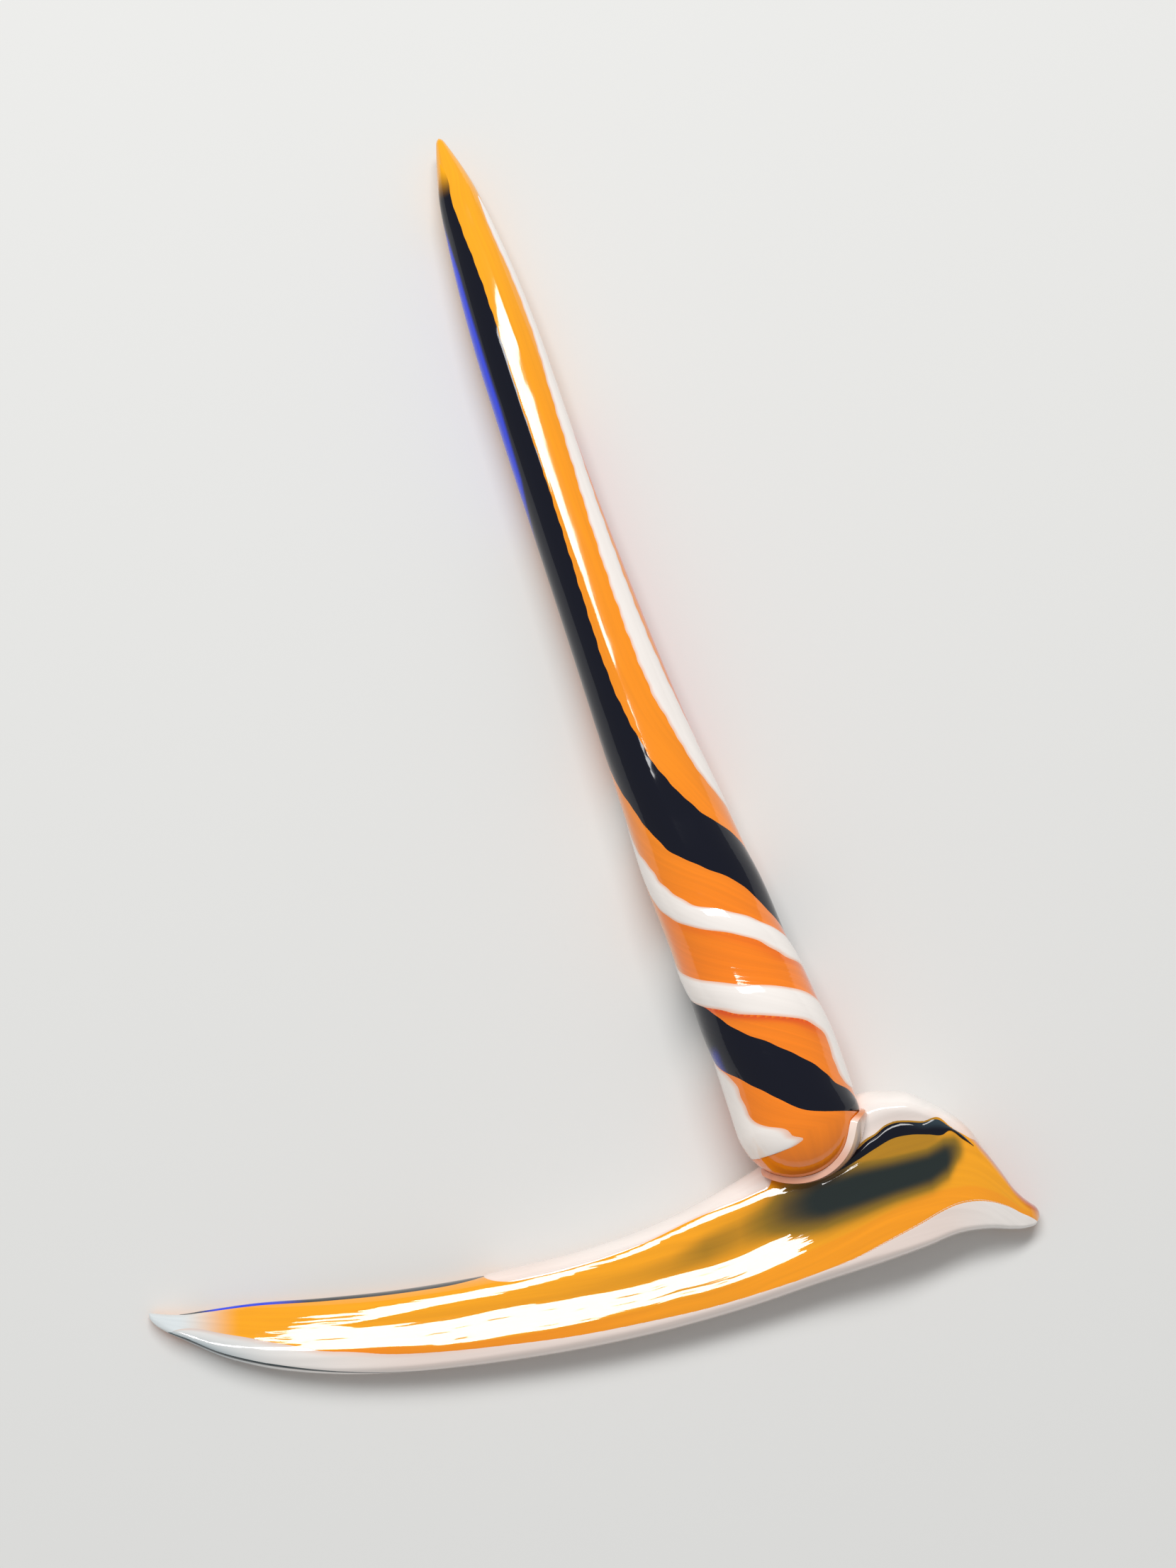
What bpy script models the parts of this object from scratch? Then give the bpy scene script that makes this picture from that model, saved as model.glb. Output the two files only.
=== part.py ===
"""Lampworked glass tool: a tapered, twisted handle fused by its round end to the heel of a claw-shaped blade.

The tool lies on its flattened underside, +Z up. X runs to the heel side and Y to the handle's tip.
Each gather and each cane laid on it is a closed solid of its own. A cane sits in a channel cut in its gather.
All sizes are metres.
"""

import math

import bmesh
import bpy
import numpy as np
from mathutils import Matrix, Vector

MM = 0.001

# Overall sizes.
HANDLE_LENGTH = 97.3 * MM
BLADE_LENGTH = 75.6 * MM
BLADE_SLOPE = math.radians(6.45)  # the blade's chord climbs this much from X
HANDLE_ANGLE = math.radians(78.25)  # between the blade's chord and the handle's axis
SEAT_SHARE = 0.751  # where along the blade's chord the handle's end is fused on
SEAT_DEPTH = 3.5 * MM  # how far that end is sunk below the blade's upper edge

# Handle.
BULB_RADIUS = 5.25 * MM
BULB_DOME = 4.9 * MM  # length of the rounded end
# Share of the handle's length, then its radius in mm. It bulges where the canes are twisted.
HANDLE_RADII = (
    (0.000, 0.30), (0.017, 0.80), (0.052, 1.66), (0.104, 2.28), (0.208, 2.97), (0.275, 3.08),
    (0.406, 3.28), (0.536, 3.64), (0.662, 4.28), (0.725, 4.71), (0.786, 4.78), (0.820, 5.01),
    (0.950, BULB_RADIUS / MM),
)
# Share of the length, then in mm how far the handle bows to the right, and how far it clears the table.
HANDLE_BOW = ((0.00, 0.0), (0.41, 0.0), (0.66, 0.65), (0.79, 1.35), (0.86, 1.95), (1.00, 2.05))
HANDLE_LIFT = (
    (0.00, 1.70), (0.05, 0.75), (0.10, 0.20), (0.21, -0.12), (0.79, -0.12), (0.94, 0.0), (1.00, 0.0),
)

# Blade: share of its chord, then in mm the upper edge, the lower edge and the top.
BLADE_SECTIONS = (
    (0.000, 0.35, -0.35, 1.3), (0.020, -0.05, -1.45, 2.0), (0.060, -0.16, -2.95, 2.6),
    (0.119, 0.00, -5.00, 3.3), (0.198, -0.18, -6.30, 4.0), (0.317, -0.10, -6.95, 4.6),
    (0.430, 0.60, -6.80, 4.9), (0.549, 2.20, -6.00, 5.1), (0.665, 5.35, -4.70, 5.3),
    (0.741, 8.50, -3.40, 5.8), (0.813, 11.6, -2.40, 6.6), (0.861, 11.2, -1.50, 6.8),
    (0.901, 9.40, -0.65, 6.4), (0.939, 6.15, -0.60, 5.4), (0.967, 2.85, -0.95, 4.2),
    (0.991, 1.05, -0.85, 2.9), (1.000, 0.30, -0.30, 2.0),
)
SECTION_POWER = 2.4  # 2 is an ellipse, more is squarer
MARVERED_FLAT = 0.3 * MM  # how much the underside was pressed flat

# Canes and the weld.
CLEARANCE = 0.3 * MM  # between a cane and its channel, and between the handle and the blade
CANE_DEPTH = 0.8 * MM
CANE_DEPTH_SHARE = 0.35  # of the radius, where the gather is slimmer than the cane is deep
WELD_WALL = 0.8 * MM
WELD_REACH = 2.4 * MM  # how far the weld's cup climbs round the handle's end
CUTTER_OVERSHOOT = 0.6 * MM

# Share of the handle's length, then the two edges of the cane in degrees from the crest, growing to the left.
HANDLE_COBALT = (
    (0.040, 18, 60), (0.069, 24, 95), (0.139, 15, 108), (0.275, 14, 112), (0.406, 18, 112), (0.536, 24, 112),
    (0.599, 14, 95), (0.662, -12, 51), (0.694, -44, 31), (0.725, -84, -4), (0.786, -185, -70),
    (0.847, -313, -190), (0.877, -347, -270), (0.907, -381, -317), (0.937, -412, -355),
)
HANDLE_WHITE_A = (
    (0.139, 165, 195), (0.406, 165, 195), (0.536, 160, 192), (0.599, 130, 168), (0.662, 90, 128),
    (0.725, 48, 85), (0.755, 8, 50), (0.786, -45, -4), (0.847, -178, -120), (0.907, -305, -245),
    (0.937, -310, -262), (0.965, -330, -285),
)
HANDLE_WHITE_B = (
    (0.075, -80, -40), (0.139, -92, -50), (0.208, -92, -51), (0.275, -85, -42), (0.406, -63, -28),
    (0.536, -62, -22), (0.599, -75, -32), (0.662, -102, -58), (0.725, -170, -125), (0.786, -252, -205),
    (0.817, -318, -258), (0.847, -404, -332), (0.877, -458, -412), (0.937, -462, -420),
)
# Share of the blade's chord, then the cane's two edges in degrees round the section from its upper edge.
BLADE_COBALT_LINE = ((0.046, -30, 12), (0.198, -32, 10), (0.370, -30, 8))
BLADE_UPPER_CANE = ((0.390, -30, 20), (0.503, -32, 38), (0.668, -34, 48))
BLADE_LOWER_CANE = (
    (0.119, 128, 165), (0.265, 122, 165), (0.397, 120, 178), (0.476, 122, 215), (0.661, 128, 222),
    (0.820, 128, 220), (0.913, 124, 218), (0.983, 118, 212),
)
BLADE_COBALT_EDGE = ((0.029, 178, 232), (0.198, 176, 216), (0.384, 186, 214))
HEEL_WHITE_CANE = ((0.817, -40, 44), (0.873, -36, 40), (0.933, -34, 30), (0.966, -30, 18))
HEEL_COBALT_CANE = ((0.823, 52, 72), (0.873, 50, 74), (0.919, 46, 66))

HANDLE_STATIONS = 46
BLADE_STATIONS = 34
HANDLE_SEGMENTS = 22
BLADE_SEGMENTS = 22
CANE_SEGMENTS = 4
CANE_STEP = 1.8 * MM  # between a cane's sections, along its own path

# Colour (linear RGB), roughness, metallic.
ORANGE_GLASS = ("orange_glass", (1.0, 0.27, 0.008), 0.06, 0.0)
WHITE_GLASS = ("white_glass", (0.86, 0.78, 0.75), 0.06, 0.0)
COBALT_GLASS = ("cobalt_glass", (0.003, 0.006, 0.022), 0.05, 0.0)
WELD_GLASS = ("weld_glass", (0.88, 0.62, 0.50), 0.08, 0.0)


def smooth(points, column, at):
    """Cubic curve through a table's column. A point's slope is the mean of its spans', weighted by span."""
    x = np.array([p[0] for p in points], float)
    y = np.array([p[column] for p in points], float)
    span = np.diff(x)
    rise = np.diff(y) / span
    between = (rise[:-1] * span[1:] + rise[1:] * span[:-1]) / (span[1:] + span[:-1])
    slope = np.concatenate([rise[:1], between, rise[-1:]])
    at = np.clip(at, x[0], x[-1])
    i = np.clip(np.searchsorted(x, at, side="right") - 1, 0, len(span) - 1)
    t = (at - x[i]) / span[i]
    bend_in = t * (1 - t) ** 2 * slope[i] * span[i]
    bend_out = -(t ** 2) * (1 - t) * slope[i + 1] * span[i]
    return y[i] + (y[i + 1] - y[i]) * t ** 2 * (3 - 2 * t) + bend_in + bend_out


def turned(vector, angle):
    """A vector turned in the XY plane."""
    return Matrix.Rotation(angle, 3, "Z") @ vector


BLADE_AXIS = turned(Vector((1, 0, 0)), BLADE_SLOPE)
BLADE_SIDE = turned(Vector((0, 1, 0)), BLADE_SLOPE)
HANDLE_DOWN = turned(BLADE_AXIS, -HANDLE_ANGLE)  # from the handle's tip to its bulb
HANDLE_SIDE = turned(HANDLE_DOWN, math.pi / 2)  # to the right, seen from above with the tip up
SEAT_RISE = float(smooth(BLADE_SECTIONS, 1, SEAT_SHARE)) * MM - SEAT_DEPTH
HANDLE_END = BLADE_AXIS * SEAT_SHARE * BLADE_LENGTH + BLADE_SIDE * SEAT_RISE


def handle_radius(along, grow=0.0):
    """Radius of the handle there, grown all round by so much. Its end is half an ellipsoid."""
    radius = smooth(HANDLE_RADII, 1, along / HANDLE_LENGTH) * MM + grow
    dome_start = HANDLE_LENGTH - BULB_DOME
    share = np.clip((along - dome_start) / (BULB_DOME + grow), 0.0, 1.0)
    return radius * np.sqrt(1 - share ** 2)


def handle_centre(along):
    """Centre of the handle there: a straight line, bowed to the right, raised by its radius and its lift."""
    share = along / HANDLE_LENGTH
    bow = (smooth(HANDLE_BOW, 1, share) - HANDLE_BOW[-1][1]) * MM
    height = (smooth(HANDLE_RADII, 1, share) + smooth(HANDLE_LIFT, 1, share)) * MM
    flat = np.array(HANDLE_END) + np.outer(along - HANDLE_LENGTH, HANDLE_DOWN) + np.outer(bow, HANDLE_SIDE)
    flat[:, 2] = height
    return flat


def handle_point(along, degrees, depth):
    """Point of the handle: distance along it, degrees to the left of its crest, depth under its skin."""
    angle = np.radians(degrees)
    radius = handle_radius(along) - depth
    outward = np.outer(-np.sin(angle), HANDLE_SIDE) + np.outer(np.cos(angle), (0, 0, 1))
    return handle_centre(along) + outward * radius[:, None]


def blade_outline(along):
    """Upper edge, lower edge and top of the blade there."""
    return (smooth(BLADE_SECTIONS, column, along / BLADE_LENGTH) * MM for column in (1, 2, 3))


def blade_point(along, degrees, depth):
    """Point of the blade: distance along its chord, degrees round its section, depth under its skin.

    The section is a superellipse between the two edges, and 0 degrees is the upper edge, 90 the crest.
    """
    upper, lower, top = blade_outline(along)
    angle = np.radians(degrees)
    across = np.abs(np.cos(angle)) ** (2 / SECTION_POWER) * np.sign(np.cos(angle)) * (upper - lower) / 2
    rise = np.abs(np.sin(angle)) ** (2 / SECTION_POWER) * np.sign(np.sin(angle)) * (top + MARVERED_FLAT) / 2
    inward = 1 - depth / np.hypot(across, rise)
    flat = np.outer(along, BLADE_AXIS) + np.outer((upper + lower) / 2 + across * inward, BLADE_SIDE)
    flat[:, 2] = (top - MARVERED_FLAT) / 2 + rise * inward
    return flat


def blade_depth(along):
    """Half the blade's smaller side, which limits how deep a cane can lie."""
    upper, lower, top = blade_outline(along)
    return np.minimum(upper - lower, top) / 2


def on_the_table(points):
    """Nothing reaches below the flat that the tool was pressed on."""
    points[..., 2] = np.maximum(points[..., 2], 0.0)
    return points


def skin(name, rings, collection):
    """A closed mesh over rings of as many points each, with both ends filled.

    Every square is split the same way, so that a twisted cane and its channel stay the same distance apart.
    """
    mesh = bpy.data.meshes.new(name)
    made = bmesh.new()
    rows = [[made.verts.new(point) for point in ring] for ring in rings]
    for one, two in zip(rows, rows[1:]):
        for i in range(len(one)):
            j = (i + 1) % len(one)
            made.faces.new((one[i], one[j], two[j]))
            made.faces.new((one[i], two[j], two[i]))
    made.faces.new(rows[0])
    made.faces.new(reversed(rows[-1]))
    bmesh.ops.recalc_face_normals(made, faces=made.faces)
    made.to_mesh(mesh)
    made.free()
    mesh.shade_smooth()
    mesh.set_sharp_from_angle(angle=math.radians(40))
    thing = bpy.data.objects.new(name, mesh)
    collection.objects.link(thing)
    return thing


def paint(thing, glass):
    """Gives an object its glass, one shared material of each kind."""
    name, colour, roughness, metallic = glass
    material = bpy.data.materials.get(name)
    if material is None:
        material = bpy.data.materials.new(name)
        material.use_nodes = True
        shader = material.node_tree.nodes["Principled BSDF"]
        shader.inputs["Base Color"].default_value = (*colour, 1.0)
        shader.inputs["Roughness"].default_value = roughness
        shader.inputs["Metallic"].default_value = metallic
        material.diffuse_color = (*colour, 1.0)
    thing.data.materials.append(material)


def stations(first, last, count, ends=0.25 * MM):
    """Distances from first to last, even but for one close to each end."""
    inner = np.linspace(first, last, count)
    return np.concatenate([[first, first + ends], inner[1:-1], [last - ends, last]])


def band(name, point, table, scale, depth, half_sizes, collection, grow=0.0):
    """A cane: the strip of skin between two edges of a table, as deep as given, its ends drawn in a little.

    A grown band is the cane's cutter: it stands proud of the skin, and is wider, deeper and longer by grow.
    """
    first, last = table[0][0] * scale, table[-1][0] * scale
    fine = np.linspace(first, last, 400)
    turn = np.radians(smooth(table, 1, fine / scale) + smooth(table, 2, fine / scale)) / 2
    path = np.concatenate([[0.0], np.cumsum(np.hypot(np.diff(fine), half_sizes(fine)[1:] * np.diff(turn)))])
    evenly = stations(0.0, path[-1], max(5, round(path[-1] / CANE_STEP)))
    along = np.interp(evenly, path, fine)
    low, high = (smooth(table, column, along / scale) for column in (1, 2))
    size = half_sizes(along)
    drawn_in = np.clip(np.minimum(along - first, last - along) / depth, 0.25, 1.0)
    middle, half = (low + high) / 2, (high - low) / 2 * drawn_in + np.degrees(grow / size)
    floor = np.minimum(depth, CANE_DEPTH_SHARE * size) + grow
    roof = -CUTTER_OVERSHOOT if grow else 0.0
    along[0] -= grow
    along[-1] += grow
    rings = []
    for at, centre, reach, bottom in zip(along, middle, half, floor):
        over = centre + np.linspace(-reach, reach, CANE_SEGMENTS + 1)
        angles = np.concatenate([over, over[::-1]])
        depths = np.repeat((roof, bottom), CANE_SEGMENTS + 1)
        ring = point(np.full(len(angles), at), angles, depths)
        rings.append(ring if grow else on_the_table(ring))
    return skin(name, rings, collection)


def cut(thing, cutter):
    """Takes the cutter's volume out of a piece."""
    cutter.hide_render = True
    cutter.display_type = "WIRE"
    boolean = thing.modifiers.new(cutter.name, "BOOLEAN")
    boolean.operation = "DIFFERENCE"
    boolean.object = cutter


def weld_rim_back():
    """How far the inner corner of the cup's rim lies behind the outer one, as the wall follows the dome."""
    share = 1 - WELD_REACH / BULB_DOME
    along_axis = share / BULB_DOME
    outward = math.sqrt(1 - share ** 2) / BULB_RADIUS
    return WELD_WALL * along_axis / math.hypot(along_axis, outward)


def handle_body(pieces, name):
    """The handle's gather: a tapered rod whose end steps down under the weld's cup."""
    angles = np.linspace(0, 360, HANDLE_SEGMENTS, endpoint=False)
    step = HANDLE_LENGTH - WELD_REACH - CLEARANCE - weld_rim_back()
    inset = WELD_WALL + CLEARANCE
    shaft = np.concatenate([[0.0, 0.6 * MM, 1.7 * MM, 3.2 * MM], np.linspace(5 * MM, step, HANDLE_STATIONS)])
    dome = HANDLE_LENGTH - inset - np.array([1.0, 0.55, 0.22, 0.04]) * (HANDLE_LENGTH - inset - step)
    rings = [handle_point(np.full(len(angles), at), angles, np.zeros(len(angles))) for at in shaft]
    for at in dome:
        under = handle_radius(np.array([at])) - handle_radius(np.array([at]), -inset)
        rings.append(handle_point(np.full(len(angles), at), angles, np.full(len(angles), under[0])))
    return skin(name, [on_the_table(ring) for ring in rings], pieces)


def handle_envelope(name, collection, grow):
    """The handle's lower end grown all round, as a cutter for what it is fused into."""
    angles = np.linspace(0, 360, HANDLE_SEGMENTS, endpoint=False)
    shares = np.array([0.0, 0.3, 0.55, 0.72, 0.84, 0.92, 0.97, 0.995])
    first = HANDLE_LENGTH - 6 * BULB_DOME
    rings = []
    for at in first + shares * (HANDLE_LENGTH + grow - first):
        held = min(at, HANDLE_LENGTH)
        under = handle_radius(np.array([held]))[0] - handle_radius(np.array([at]), grow)[0]
        ring = handle_point(np.full(len(angles), held), angles, np.full(len(angles), under))
        rings.append(ring + np.array(HANDLE_DOWN) * (at - held))
    return skin(name, rings, collection)


def weld_cup(pieces):
    """The collar of softer glass that was drawn round the handle's end to weld it: a turned cup."""
    profile = bpy.data.meshes.new("weld_collar")
    made = bmesh.new()
    previous = None
    for share in np.linspace(0, 1, 7):
        under = share ** 2 * WELD_REACH
        radius = handle_radius(np.array([HANDLE_LENGTH - under]))[0]
        vert = made.verts.new((radius, 0, -under))
        if previous is not None:
            made.edges.new((previous, vert))
        previous = vert
    made.to_mesh(profile)
    made.free()
    collar = bpy.data.objects.new("weld_collar", profile)
    pieces.objects.link(collar)
    frame = Matrix((HANDLE_SIDE, Vector((0, 0, 1)), HANDLE_DOWN)).transposed().to_4x4()
    centre = handle_centre(np.array([HANDLE_LENGTH]))[0]
    collar.matrix_world = Matrix.Translation(Vector(centre)) @ frame
    turn = collar.modifiers.new("turn", "SCREW")
    turn.axis = "Z"
    turn.steps = turn.render_steps = HANDLE_SEGMENTS
    turn.use_merge_vertices = True
    turn.merge_threshold = 0.00002
    turn.use_smooth_shade = True
    wall = collar.modifiers.new("wall", "SOLIDIFY")
    wall.thickness = WELD_WALL
    wall.offset = -1
    return collar


def build():
    for thing in list(bpy.data.objects):
        bpy.data.objects.remove(thing, do_unlink=True)
    scene = bpy.context.scene
    pieces = bpy.data.collections.new("lampworked_glass_tool")
    cutters = bpy.data.collections.new("cutters")
    scene.collection.children.link(pieces)
    scene.collection.children.link(cutters)

    handle = handle_body(pieces, "handle_core")
    paint(handle, ORANGE_GLASS)
    for name, table, glass in (
        ("handle_cobalt_cane", HANDLE_COBALT, COBALT_GLASS),
        ("handle_white_cane_back", HANDLE_WHITE_A, WHITE_GLASS),
        ("handle_white_cane_front", HANDLE_WHITE_B, WHITE_GLASS),
    ):
        size = (handle_point, table, HANDLE_LENGTH, CANE_DEPTH, handle_radius)
        paint(band(name, *size, pieces), glass)
        cut(handle, band(name + "_channel", *size, cutters, grow=CLEARANCE))

    paint(weld_cup(pieces), WELD_GLASS)

    angles = np.linspace(0, 360, BLADE_SEGMENTS, endpoint=False)
    along = stations(0.0, BLADE_LENGTH, BLADE_STATIONS, ends=0.8 * MM)
    rings = [blade_point(np.full(len(angles), at), angles, np.zeros(len(angles))) for at in along]
    blade = skin("blade_core", [on_the_table(ring) for ring in rings], pieces)
    paint(blade, ORANGE_GLASS)
    seat = handle_envelope("handle_seat", cutters, CLEARANCE)
    for name, table, glass in (
        ("blade_cobalt_line", BLADE_COBALT_LINE, COBALT_GLASS),
        ("blade_white_upper_cane", BLADE_UPPER_CANE, WHITE_GLASS),
        ("blade_white_lower_cane", BLADE_LOWER_CANE, WHITE_GLASS),
        ("blade_cobalt_edge", BLADE_COBALT_EDGE, COBALT_GLASS),
        ("heel_white_cane", HEEL_WHITE_CANE, WHITE_GLASS),
        ("heel_cobalt_cane", HEEL_COBALT_CANE, COBALT_GLASS),
    ):
        size = (blade_point, table, BLADE_LENGTH, CANE_DEPTH, blade_depth)
        cane = band(name, *size, pieces)
        paint(cane, glass)
        cut(blade, band(name + "_channel", *size, cutters, grow=CLEARANCE))
        if name.startswith("heel"):
            cut(cane, seat)
    cut(blade, seat)

    centre_on_the_origin(pieces)


def centre_on_the_origin(pieces):
    """Hangs every piece and cutter on one empty, placed so that the tool's box is centred on Z."""
    bpy.context.view_layer.update()
    graph = bpy.context.evaluated_depsgraph_get()
    corners = []
    for thing in pieces.objects:
        done = thing.evaluated_get(graph)
        corners += [done.matrix_world @ Vector(corner) for corner in done.bound_box]
    spots = np.array(corners)
    middle = (spots.min(axis=0) + spots.max(axis=0)) / 2
    middle[2] = spots[:, 2].min()
    frame = bpy.data.objects.new("tool_frame", None)
    pieces.objects.link(frame)
    frame.location = -Vector(middle)
    for thing in bpy.data.objects:
        if thing is not frame:
            thing.parent = frame


build()
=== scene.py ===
"""Looks of a lampworked glass tool: opaque orange gathers with white and dense cobalt canes melted in.

Every piece is a closed surface worked out from tables in millimetres, in the tool's own layout: the handle's
crest line and the blade's chord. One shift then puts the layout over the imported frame.
"""

import math

import bpy
import numpy as np
from bpy.props import FloatProperty, FloatVectorProperty, PointerProperty
from bpy.types import Operator, Panel, PropertyGroup
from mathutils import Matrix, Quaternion, Vector


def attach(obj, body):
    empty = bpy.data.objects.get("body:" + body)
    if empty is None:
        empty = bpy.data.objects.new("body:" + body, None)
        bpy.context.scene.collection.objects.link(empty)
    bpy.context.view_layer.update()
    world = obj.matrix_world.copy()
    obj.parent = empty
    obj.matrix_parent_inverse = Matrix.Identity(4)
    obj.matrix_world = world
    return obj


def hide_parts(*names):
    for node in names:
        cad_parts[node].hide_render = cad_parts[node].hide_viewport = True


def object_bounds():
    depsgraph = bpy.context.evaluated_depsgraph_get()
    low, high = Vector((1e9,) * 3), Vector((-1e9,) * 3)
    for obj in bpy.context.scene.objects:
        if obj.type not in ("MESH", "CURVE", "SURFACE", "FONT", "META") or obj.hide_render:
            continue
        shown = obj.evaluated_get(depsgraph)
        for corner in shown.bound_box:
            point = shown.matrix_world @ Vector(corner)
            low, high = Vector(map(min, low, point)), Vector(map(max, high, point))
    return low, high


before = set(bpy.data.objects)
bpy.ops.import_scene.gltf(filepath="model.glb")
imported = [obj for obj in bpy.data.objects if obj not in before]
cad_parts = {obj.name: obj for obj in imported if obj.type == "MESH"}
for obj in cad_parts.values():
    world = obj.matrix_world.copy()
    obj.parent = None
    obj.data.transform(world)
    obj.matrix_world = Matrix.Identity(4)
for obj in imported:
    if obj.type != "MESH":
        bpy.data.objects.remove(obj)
FRAME_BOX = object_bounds()

bl_info = {
    "name": "Lampworked Glass Tool",
    "version": (1, 0, 0),
    "blender": (4, 5, 0),
    "location": "3D View > Sidebar > Glass Tool",
    "description": "Makes a twisted glass handle fused to a claw-shaped glass blade, with canes and a stage",
    "category": "Object",
}

MM = 0.001

# The blade's tables are for a chord of this many mm, and its plan is scaled to the length asked for.
CHORD = 75.6
CHORD_END = 75.5  # mm along that chord at which the tables end

# Share of the handle's length, then its radius in mm.
HANDLE_RADII = (
    (0.000, 0.30), (0.017, 0.80), (0.052, 1.66), (0.104, 2.28), (0.208, 2.97), (0.275, 3.08),
    (0.406, 3.28), (0.536, 3.64), (0.662, 4.28), (0.725, 4.66), (0.786, 4.82), (0.840, 5.02), (0.950, 5.25),
)
# Share of the length, then in mm the bow to the right, and the clearance over the table.
HANDLE_BOW = ((0.00, 0.0), (0.41, 0.0), (0.66, 0.65), (0.79, 1.35), (0.86, 1.95), (1.00, 2.05))
HANDLE_LIFT = (
    (0.00, 1.70), (0.05, 0.75), (0.10, 0.20), (0.21, -0.12), (0.50, -0.11), (0.53, -0.14), (0.56, -0.24),
    (0.60, -0.36), (0.64, -0.50), (0.68, -0.78), (0.725, -0.86), (0.79, -0.66), (0.86, -0.32),
    (0.94, -0.10), (1.00, 0.0),
)
HANDLE_DOME = 4.9  # mm of rounded end
HANDLE_TIP = 0.5  # mm of rounded tip
TWIST_LOBES = 0.035  # mm that the twist leaves standing, as three lobes that turn with it
GATHER_INSET = 0.06  # mm that the handle's gather is slimmer, to leave room for the canes' relief
# How far heat has struck the handle's orange redder: share of its length, then 0 to 1.
STRUCK = ((0, 0), (.14, .12), (.34, .4), (.5, .55), (.63, .62), (.72, .75), (.8, .86), (1, .80))

# The canes' edges on the handle: share of its length, then degrees to the left of the crest.
COBALT_LOW = (
    (.028, 30), (.034, 22), (.069, 25), (.104, 20), (.139, 14.5), (.208, 12), (.275, 14.5), (.341, 15),
    (.406, 18), (.471, 22), (.536, 24), (.567, 21), (.599, 14), (.631, 5), (.662, -12.5), (.678, -24),
    (.694, -45), (.709, -64), (.725, -86), (.756, -132), (.786, -187), (.817, -252), (.837, -302),
    (.847, -313), (.859, -325), (.870, -337), (.879, -350), (.889, -363), (.905, -381), (.921, -397),
    (.931, -405), (.939, -419), (.947, -431), (.960, -450),
)
COBALT_HIGH = (
    (.028, 52), (.069, 96), (.139, 108), (.275, 113), (.406, 113), (.536, 113), (.567, 107), (.599, 95),
    (.631, 71), (.653, 56), (.662, 51), (.685, 37), (.7025, 24.5), (.7105, 15), (.719, 4.5), (.726, -4),
    (.734, -17), (.744, -30), (.756, -41), (.769, -52), (.786, -70), (.817, -116), (.847, -188),
    (.867, -240), (.889, -285), (.901, -310), (.914, -328), (.926, -342), (.937, -355), (.946, -370),
    (.9555, -401), (.960, -415),
)
# Where the cobalt is thin and painted blue, as lit through: share of the length, then degrees to the left.
COBALT_THIN_BACKLIT = ((.09, 68), (.104, 62), (.139, 53), (.208, 50), (.275, 50), (.341, 56), (.39, 74))
WHITE_A_LOW = (
    (.139, 165), (.406, 165), (.536, 160), (.599, 143), (.662, 95), (.694, 71), (.7105, 57.5), (.725, 48),
    (.736, 40), (.746, 29.5), (.754, 17), (.7605, 2), (.772, -19), (.786, -45), (.797, -67), (.817, -110),
    (.847, -188), (.877, -262), (.9025, -303), (.914, -306), (.929, -310), (.942, -315), (.947, -326),
    (.9515, -338), (.960, -347), (.967, -352), (.9695, -339), (.971, -322),
)
WHITE_A_HIGH = (
    (.139, 195), (.406, 195), (.536, 192), (.599, 178), (.662, 130), (.709, 98), (.741, 71), (.751, 61),
    (.759, 50), (.767, 36), (.774, 21), (.786, -4), (.7985, -25.5), (.809, -38.5), (.818, -49), (.827, -71),
    (.847, -118), (.877, -190), (.907, -242), (.937, -265), (.971, -275),
)
WHITE_B_LOW = (
    (.070, -76), (.104, -88), (.139, -94), (.208, -91), (.275, -85), (.3075, -78), (.373, -65), (.406, -62.5),
    (.536, -62), (.567, -67), (.599, -75), (.631, -83), (.662, -100), (.675, -115), (.725, -177),
    (.786, -261), (.801, -282), (.815, -316.5), (.822, -335.5), (.830, -356), (.840, -385), (.848, -406),
    (.859, -432), (.877, -456), (.941, -466),
)
WHITE_B_HIGH = (
    (.070, -44), (.104, -44), (.139, -50.5), (.208, -51.5), (.275, -42.5), (.341, -35.5), (.406, -28),
    (.471, -23), (.536, -22), (.567, -24), (.599, -32), (.631, -40), (.662, -58), (.675, -73), (.725, -132),
    (.786, -212), (.8255, -270), (.836, -301.5), (.843, -320.5), (.8515, -337.5), (.859, -358),
    (.866, -378), (.873, -395), (.880, -405), (.889, -413), (.905, -414.5), (.926, -415), (.941, -424),
)

# The blade's plan: distance along its chord in mm, then distance to the left of it (towards the handle).
UPPER_EDGE = (
    (0, .22), (.6, .12), (1.5, -.05), (3, -.20), (4.4, -.14), (8.8, .01), (14.75, -.18), (20.65, -.22),
    (26.56, .03), (32.47, .57), (38.39, 1.46), (44.31, 2.96), (50.26, 5.35), (52.64, 6.48), (56, 8.5),
    (59, 10.4), (61.5, 11.5), (63.6, 11.45), (65.1, 11.2), (66.6, 10.4), (68.1, 9.4), (69.6, 8.07),
    (71.04, 6.15), (72.5, 3.88), (73.1, 2.83), (73.95, 1.74), (74.7, 1.05), (75.3, .5), (75.5, .1),
)
LOWER_EDGE = (
    (0, -.22), (.6, -.85), (1.53, -1.5), (3.03, -2.29), (6.04, -3.9), (9.01, -5.0), (14.93, -6.27),
    (20.82, -6.80), (26.71, -6.89), (32.59, -6.74), (38.48, -6.35), (44.38, -5.68), (50.29, -4.71),
    (56.21, -3.43), (62.15, -2.19), (65.13, -1.48), (68.11, -.70), (71.09, -.66), (72.58, -.9),
    (74.06, -.97), (74.96, -.75), (75.3, -.45), (75.5, -.1),
)
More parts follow.
